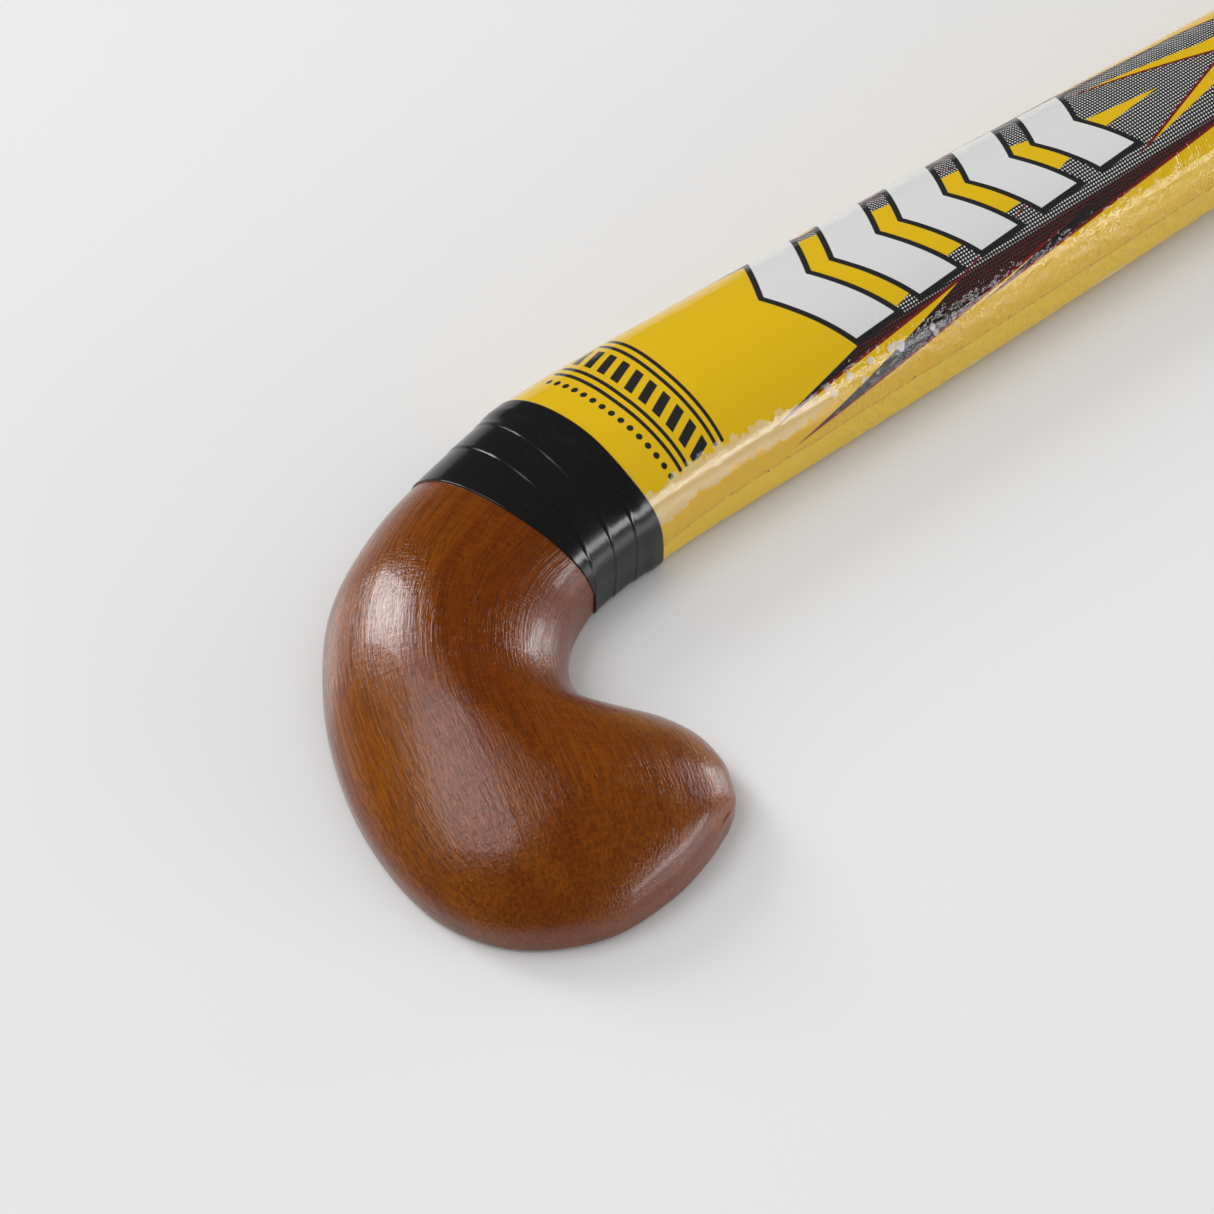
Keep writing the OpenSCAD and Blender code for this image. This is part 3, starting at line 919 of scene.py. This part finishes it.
def makeWrap(name, material, slot, node, depth, skins):
    sleeveSkin, woodSkin = skins
    around = filmShape["around"]
    quarter = around // 4
    half = around // 2
    angles = [2 * math.pi * k / around for k in range(around)]
    tapeTop = turnToDistance(filmShape["tapeTop"])
    rows, places = [], []
    for u in filmStations():
        row = []
        for angle in angles:
            if u > tapeTop:
                point = surfacePoint(sleeveSkin, u, angle, -depth)
            else:
                point = surfacePoint(woodSkin, u, angle, filmShape["overWood"] - depth)
            crease = noise.noise(Vector((u * 60, angle * 3, 0))) * filmShape["wrinkle"]
            away = Vector((0, math.cos(angle), math.sin(angle)))
            row.append(point + away * (crease - filmShape["wrinkle"] * 0.5))
        rows.append(row)
        # distance round the section from the crest, positive towards -Y
        travelled = [0.0]
        for k in range(around):
            a = row[(quarter + k) % around]
            b = row[(quarter + k + 1) % around]
            travelled.append(travelled[-1] + (b - a).length)
        places.append((u, travelled))
    mesh = gridMesh(name, rows)
    layer = mesh.uv_layers.new(name="print")
    for polygon in mesh.polygons:
        steps = [(vertex - quarter) % around for vertex in polygon.vertices]
        near, wide = min(steps), max(steps)
        for loop, vertex, k in zip(polygon.loop_indices, polygon.vertices, steps):
            u, travelled = places[vertex // around]
            if wide - near > half:  # the face that closes the ring at the crest
                value = travelled[k] if k < half else travelled[k] - travelled[-1]
            elif near >= half:
                value = travelled[k] - travelled[-1]
            else:
                value = travelled[k]
            layer.data[loop].uv = (u, value)
    pointOutwards(mesh)
    piece = newPiece(name, mesh, material)
    finishPiece(piece, slot, node)
    print(name, len(mesh.polygons), "faces")


# ---- tape round the neck

tapeShape = {
    "rows": 110,
    "around": 216,
    "layer": 0.00032,  # one turn of tape on the wood
    "turnStep": 0.00016,
    "overFilm": 0.00112,  # the tape lies on the film at its upper edge
    "edgeRoll": 0.00022,
    "slope": 0.0186,  # degrees round the neck for each degree round the section
    "turnA": 16.0,
    "turnB": 13.3,
    "turnC": 10.7,
}


def upperEdge(side):
    return 11.0 + 0.5 * math.exp(-(((side - 140) / 35) ** 2))


def lowerEdge(side):
    return 20.85 - 0.9 * ((side - 100) / 85) ** 2 * (1.0 if side < 100 else 1.15)


def stepUp(value, width):
    t = min(1.0, max(0.0, value / width + 0.5))
    return t * t * (3 - 2 * t)


def tapeHeight(turn, side):
    height = tapeShape["layer"]
    for name in ("turnA", "turnB", "turnC"):
        edge = tapeShape[name] + tapeShape["slope"] * side
        past = edge - turn
        height += tapeShape["turnStep"] * stepUp(past, 0.15)
        height += tapeShape["turnStep"] * 0.2 * math.exp(-(((past - 0.22) / 0.12) ** 2))
    over = stepUp(12.75 - turn, 1.3)
    return height + (tapeShape["overFilm"] - height) * over


def makeNeckTape(material, woodSkin):
    rows = []
    around = tapeShape["around"]
    count = tapeShape["rows"]
    for i in range(-1, count + 2):
        share = min(1.0, max(0.0, i / count))
        row = []
        for k in range(around):
            angle = 2 * math.pi * k / around
            side = math.degrees(angle)
            side = side if side < 270 else side - 360
            top = upperEdge(side if side > -90 else side + 360)
            if side <= 190:
                bottom = lowerEdge(max(0.0, side))
            else:
                bottom = 19.6
            turn = top + (bottom - top) * share
            height = tapeHeight(turn, side)
            if i < 0 or i > count:
                height = height - tapeShape["edgeRoll"] * 1.5
            elif i in (0, count):
                height -= tapeShape["edgeRoll"] * 0.35
            u = turnToDistance(turn)
            row.append(surfacePoint(woodSkin, u, angle, height))
        rows.append(row)
    mesh = gridMesh("neckTape", rows)
    pointOutwards(mesh)
    piece = newPiece("neck_tape", mesh, material)
    finishPiece(piece, "black_tape", "head_tape")
    print("tape:", len(mesh.polygons), "faces")


# ---- spiral bands on the handle, by geometry nodes

bandShape = {
    "grip": {
        "Start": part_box("grip_wrap")[0].x,
        "Length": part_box("grip_wrap")[1].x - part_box("grip_wrap")[0].x,
        "Radius": (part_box("grip_wrap")[1].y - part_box("grip_wrap")[0].y) / 2,
        "Pitch": 0.0215,
        "Band Width": 0.0245,
        "Thickness": 0.0009,
        "Hole Spacing": 0.0062,
        "Hole Depth": 0.0004,
        "Steps Along": 1500,
        "Steps Across": 27,
    },
    "finish": {
        "Start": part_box("grip_finishing_tape")[0].x,
        "Length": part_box("grip_finishing_tape")[1].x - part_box("grip_finishing_tape")[0].x,
        "Radius": (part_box("grip_finishing_tape")[1].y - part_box("grip_finishing_tape")[0].y) / 2,
        "Pitch": 0.0035,
        "Band Width": 0.0130,
        "Thickness": 0.0005,
        "Hole Spacing": 1.0,
        "Hole Depth": 0.0,
        "Steps Along": 420,
        "Steps Across": 15,
    },
}


def makeBandTree():
    tree = bpy.data.node_groups.new("spiralBand", "GeometryNodeTree")
    tree.interface.new_socket("Geometry", in_out="OUTPUT", socket_type="NodeSocketGeometry")
    sockets = {}
    kinds = {"Steps Along": "Int", "Steps Across": "Int", "Material": "Material"}
    for label in (*bandShape["grip"], "Centre Height", "Material"):
        kind = "NodeSocket" + kinds.get(label, "Float")
        sockets[label] = tree.interface.new_socket(label, in_out="INPUT", socket_type=kind)
    given = put(tree, "NodeGroupInput").outputs
    gridSteps = {"Vertices X": given["Steps Along"], "Vertices Y": given["Steps Across"]}
    grid = put(tree, "GeometryNodeMeshGrid", {"Size X": 1.0, "Size Y": 1.0, **gridSteps})
    sheet = grid.outputs["Mesh"]
    flat = put(tree, "ShaderNodeSeparateXYZ", {0: put(tree, "GeometryNodeInputPosition").outputs[0]}).outputs
    along = calc(tree, "ADD", flat[0], 0.5)
    across = calc(tree, "ADD", flat[1], 0.5)
    # the band starts one width early and is cut off square at both ends
    room = calc(tree, "ADD", given["Length"], given["Band Width"])
    turns = calc(tree, "DIVIDE", room, given["Pitch"])
    angle = times(tree, times(tree, along, turns), 2 * math.pi)
    x = calc(tree, "MULTIPLY_ADD", along, room, minus(tree, given["Start"], given["Band Width"]))
    x = calc(tree, "MULTIPLY_ADD", across, given["Band Width"], x)
    x = calc(tree, "MAXIMUM", x, given["Start"])
    x = calc(tree, "MINIMUM", x, calc(tree, "ADD", given["Start"], given["Length"]))
    # punched holes, in a staggered grid along the middle of the band
    run = times(tree, angle, given["Radius"])
    width = times(tree, across, given["Band Width"])
    beat = calc(tree, "DIVIDE", 2 * math.pi, given["Hole Spacing"])
    first = calc(tree, "COSINE", times(tree, run, beat))
    second = calc(tree, "COSINE", times(tree, width, beat))
    hole = rise(tree, times(tree, first, second), 0.72, 0.93)
    clear = times(tree, rise(tree, across, 0.14, 0.20), rise(tree, across, 0.80, 0.74))
    hole = times(tree, hole, clear)
    # each turn lies on the one before it
    drop = times(tree, given["Thickness"], times(tree, across, 0.8))
    edge = times(tree, rise(tree, across, 0.055, 0.0), given["Thickness"])
    end = times(tree, rise(tree, across, 0.95, 1.0), given["Thickness"])
    sunk = calc(tree, "MULTIPLY_ADD", hole, given["Hole Depth"], end)
    sunk = calc(tree, "ADD", calc(tree, "ADD", drop, edge), sunk)
    radius = minus(tree, given["Radius"], sunk)
    y = times(tree, radius, calc(tree, "COSINE", angle))
    z = calc(tree, "MULTIPLY_ADD", radius, calc(tree, "SINE", angle), given["Centre Height"])
    placed = put(tree, "ShaderNodeCombineXYZ", {0: x, 1: y, 2: z}).outputs[0]
    stored = put(tree, "GeometryNodeStoreNamedAttribute", data_type="FLOAT_VECTOR", domain="POINT")
    feed(tree, stored.inputs["Geometry"], sheet)
    feed(tree, stored.inputs["Name"], "band")
    bandPlace = put(tree, "ShaderNodeCombineXYZ", {0: run, 1: width, 2: hole}).outputs[0]
    feed(tree, stored.inputs["Value"], bandPlace)
    wound = put(tree, "GeometryNodeSetPosition", {"Geometry": stored.outputs[0], "Position": placed})
    realized = put(tree, "GeometryNodeRealizeInstances", {0: wound.outputs[0]}).outputs[0]
    dressing = {"Geometry": realized, "Material": given["Material"]}
    dressed = put(tree, "GeometryNodeSetMaterial", dressing).outputs[0]
    feed(tree, put(tree, "NodeGroupOutput").inputs[0], dressed)
    return tree, sockets


# a plain mesh of what the tree makes from these values
def runTree(tree, sockets, values):
    mesh = bpy.data.meshes.new("empty")
    holder = bpy.data.objects.new("holder", mesh)
    modifier = holder.modifiers.new("make", "NODES")
    modifier.node_group = tree
    for label, value in values.items():
        modifier[sockets[label].identifier] = value
    bpy.context.scene.collection.objects.link(holder)
    bpy.context.view_layer.update()
    result = bpy.data.meshes.new_from_object(holder.evaluated_get(bpy.context.evaluated_depsgraph_get()))
    bpy.data.objects.remove(holder)
    return result


def makeBand(name, kind, material, slot, node):
    tree, sockets = bandTree
    values = {**bandShape[kind], "Centre Height": handleZ, "Material": material}
    mesh = runTree(tree, sockets, values)
    tidyMesh(mesh)
    piece = newPiece(name, mesh, material)
    finishPiece(piece, slot, node)
    print(name, len(mesh.polygons), "faces")


# ---- butt cap

capShape = {
    "around": 144,
    "ribs": 48,
    "ribDepth": 0.0003,
    "dome": 0.0012,
    "edgeRound": 0.0018,
    "ventRadius": 0.0016,
    "ventDepth": 0.0022,
}


# x, radius and share of the ribs, from the skirt to the middle of the end
def capProfile():
    low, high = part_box("butt_cap")
    radius = (high.y - low.y) / 2
    skirt = (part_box("grip_underlay")[1].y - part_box("grip_underlay")[0].y) / 2
    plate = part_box("grip_wrap")[1].x
    rounding = capShape["edgeRound"]
    crown = high.x
    rim = crown - capShape["dome"]
    inside = skirt - 0.00005
    profile = [(low.x, skirt - 0.0004, 0), (low.x, inside, 0), (plate - 0.0001, inside, 0)]
    profile += [(plate + 0.0001, radius - 0.0003, 0), (plate + 0.0003, radius, 0)]
    profile += [(plate + 0.0010, radius, 1)]
    profile += [(rim - rounding - 0.0004, radius, 1), (rim - rounding, radius, 0)]
    for k in range(1, 7):
        a = math.radians(15 * k)
        profile.append((rim - rounding * (1 - math.sin(a)), radius - rounding * (1 - math.cos(a)), 0))
    inner = radius - rounding
    for share in (0.93, 0.90, 0.885, 0.86, 0.6, 0.57, 0.555, 0.53, 0.35, 0.2):
        groove = 0.0004 if share in (0.90, 0.885, 0.57, 0.555) else 0.0
        profile.append((rim + capShape["dome"] * (1 - share**2) - groove, inner * share, 0))
    vent = capShape["ventRadius"]
    profile += [(crown - 0.0001, vent + 0.0003, 0), (crown - 0.0004, vent, 0)]
    bottom = crown - capShape["ventDepth"]
    profile += [(bottom, vent, 0), (bottom, vent * 0.02, 0)]
    return profile


def makeCap(material):
    rows = []
    for x, radius, ribbed in capProfile():
        row = []
        for k in range(capShape["around"]):
            a = 2 * math.pi * k / capShape["around"]
            sunk = capShape["ribDepth"] * ribbed * (0.5 - 0.5 * math.cos(a * capShape["ribs"]))
            row.append(Vector((x, (radius - sunk) * math.cos(a), handleZ + (radius - sunk) * math.sin(a))))
        rows.append(row)
    mesh = gridMesh("cap", rows)
    pointOutwards(mesh)
    piece = newPiece("cap_moulding", mesh, material)
    finishPiece(piece, "cap_rubber", "butt_cap")
    print("cap:", len(mesh.polygons), "faces")


# ---- the pieces that keep their CAD shape


def dress(nodeStart, material):
    for name in cadNodes:
        if name.startswith(nodeStart):
            mesh = cadNodes[name].data
            mesh.materials.clear()
            mesh.materials.append(material)


def makeFloor():
    mesh = bpy.data.meshes.new("floor")
    work = bmesh.new()
    bmesh.ops.create_grid(work, x_segments=24, y_segments=24, size=studio["floorSide"] / 2)
    for vertex in work.verts:
        vertex.co.z = cadBox[0].z - studio["floorDrop"]
    work.to_mesh(mesh)
    work.free()
    floor = newPiece("table", mesh, makeFloorMaterial())


makeCamera()
makeWorld()
for boxName, boxValues in studio["boxes"].items():
    makeSoftbox(boxName, *boxValues)
makeFloor()
bpy.context.scene.view_settings.view_transform = "Standard"
print("studio ready")

skinMeshes = {name: subdivided(name, 2) for name in ("clear_sleeve", "head")}
skins = {name: treeOf(mesh) for name, mesh in skinMeshes.items()}
print("skins ready")

blackTape = makeTapeMaterial()
makeHead(makeWoodMaterial())
wrapSkins = (skins["clear_sleeve"], skins["head"])
filmDepth = filmShape["filmDepth"]
makeWrap("film_print", makeFilmMaterial(), "printed_film", "printed_film", filmDepth, wrapSkins)
makeWrap("film_sleeve", makeSleeveMaterial(), "clear_film", "clear_sleeve", 0.0, wrapSkins)
makeNeckTape(blackTape, skins["head"])
bandTree = makeBandTree()
makeBand("grip_band_turns", "grip", makeBandMaterial(), "grip_band", "grip_wrap")
makeBand("finishing_tape_turns", "finish", blackTape, "black_tape", "grip_finishing_tape")
makeCap(makeRubberMaterial("capRubber"))

dress("cane_slip", makeCaneMaterial())
dress("rubber_spring", makeRubberMaterial("rubberSheet"))
dress("grip_underlay", makeRubberMaterial("cushionLayer"))
dress("splice_binding", makeClothMaterial("glassCloth"))
dress("twine_whipping", makeClothMaterial("waxedTwine"))
print("materials ready")

for mesh in skinMeshes.values():
    bpy.data.meshes.remove(mesh)
